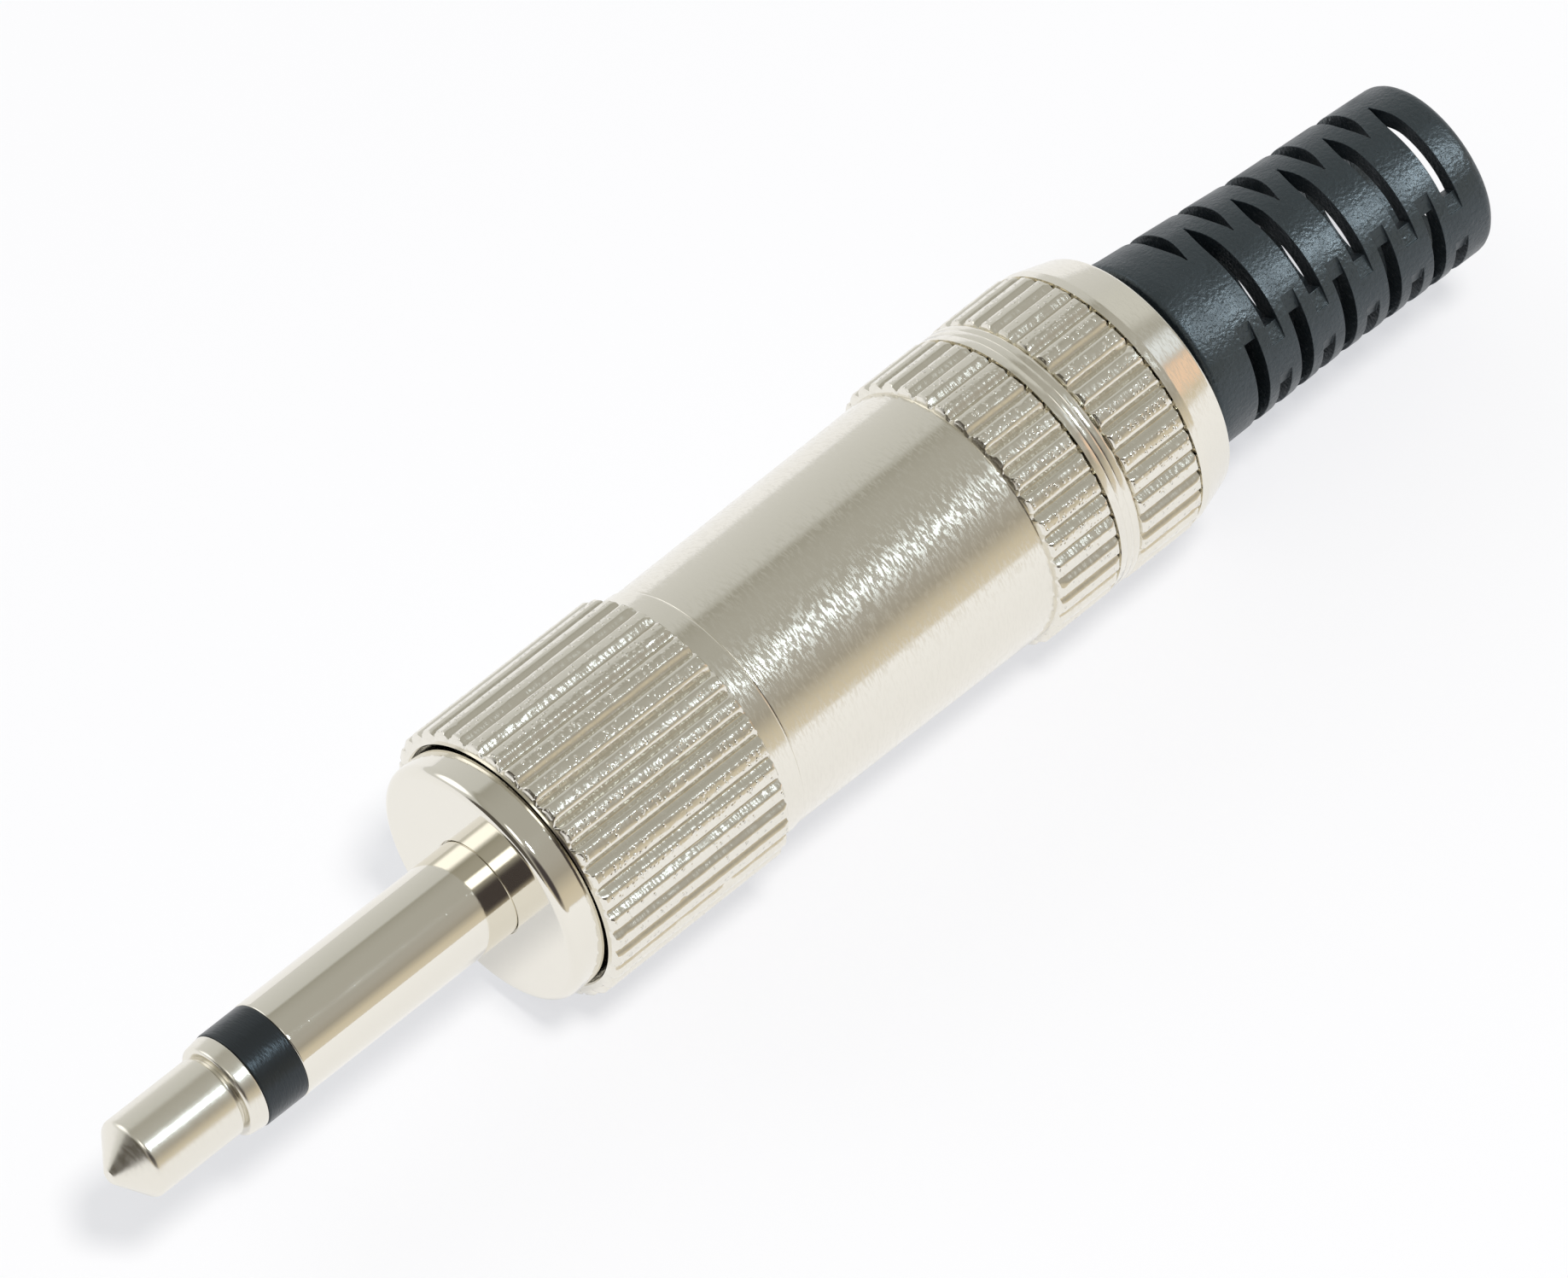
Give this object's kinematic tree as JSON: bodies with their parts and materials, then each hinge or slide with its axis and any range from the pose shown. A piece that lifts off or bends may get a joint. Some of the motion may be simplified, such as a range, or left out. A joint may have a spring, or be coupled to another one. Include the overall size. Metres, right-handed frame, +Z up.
{
  "type": "mono jack plug",
  "caption": "Mono jack plug with a polished contact pin, knurled nose ring, satin nickel barrel, knurled rear cap and a slotted black strain relief boot.",
  "frame": {"origin": "on the surface that the plug lies on, under the middle of its length", "axes": "+X along the plug from its tip to its boot, +Z up, +Y to its left when looking from the boot to the tip"},
  "size_m": [0.0576, 0.01, 0.0101],
  "materials": {
    "polished_nickel": "mirror polished nickel plating on brass",
    "knurled_nickel": "bright nickel plating on knurled brass",
    "satin_nickel": "satin nickel plating over fine turning marks",
    "tinned_sheet": "tinned sheet brass",
    "insulator_black": "smooth black moulded plastic",
    "liner_plastic": "thin pale plastic tube",
    "boot_plastic": "matte black moulded plastic with a soft sheen"
  },
  "bodies": {
    "plug": {"tip_contact": "polished_nickel", "tip_insulator": "insulator_black", "sleeve_contact": "polished_nickel", "front_flange": "polished_nickel", "nose_ring": "knurled_nickel", "sleeve_lug": "tinned_sheet", "lug_washer": "insulator_black", "tip_lug": "tinned_sheet"},
    "liner": {"barrel_liner": "liner_plastic"},
    "barrel": {"barrel": "satin_nickel"},
    "boot": {"boot": "boot_plastic"},
    "rear_cap": {"rear_cap": "knurled_nickel"}
  },
  "joints": [
    {"name": "liner_travel", "type": "slide", "parent": "plug", "child": "liner", "axis": [1, 0, 0], "range_m": [0, 0.003]},
    {"name": "barrel_turn", "type": "hinge", "parent": "liner", "child": "barrel", "pos_m": [0, 0, 0.00503], "axis": [1, 0, 0], "range_deg": [0, 1440]},
    {"name": "boot_travel", "type": "slide", "parent": "barrel", "child": "boot", "axis": [1, 0, 0], "range_m": [0, 0.003]},
    {"name": "rear_cap_turn", "type": "hinge", "parent": "boot", "child": "rear_cap", "pos_m": [0, 0, 0.00503], "axis": [1, 0, 0], "range_deg": [0, 1440]}
  ],
  "couplings": [
    {"joint": "barrel_turn", "follows": "liner_travel", "rad_per_m": 8377.5},
    {"joint": "rear_cap_turn", "follows": "boot_travel", "rad_per_m": 8377.5}
  ]
}
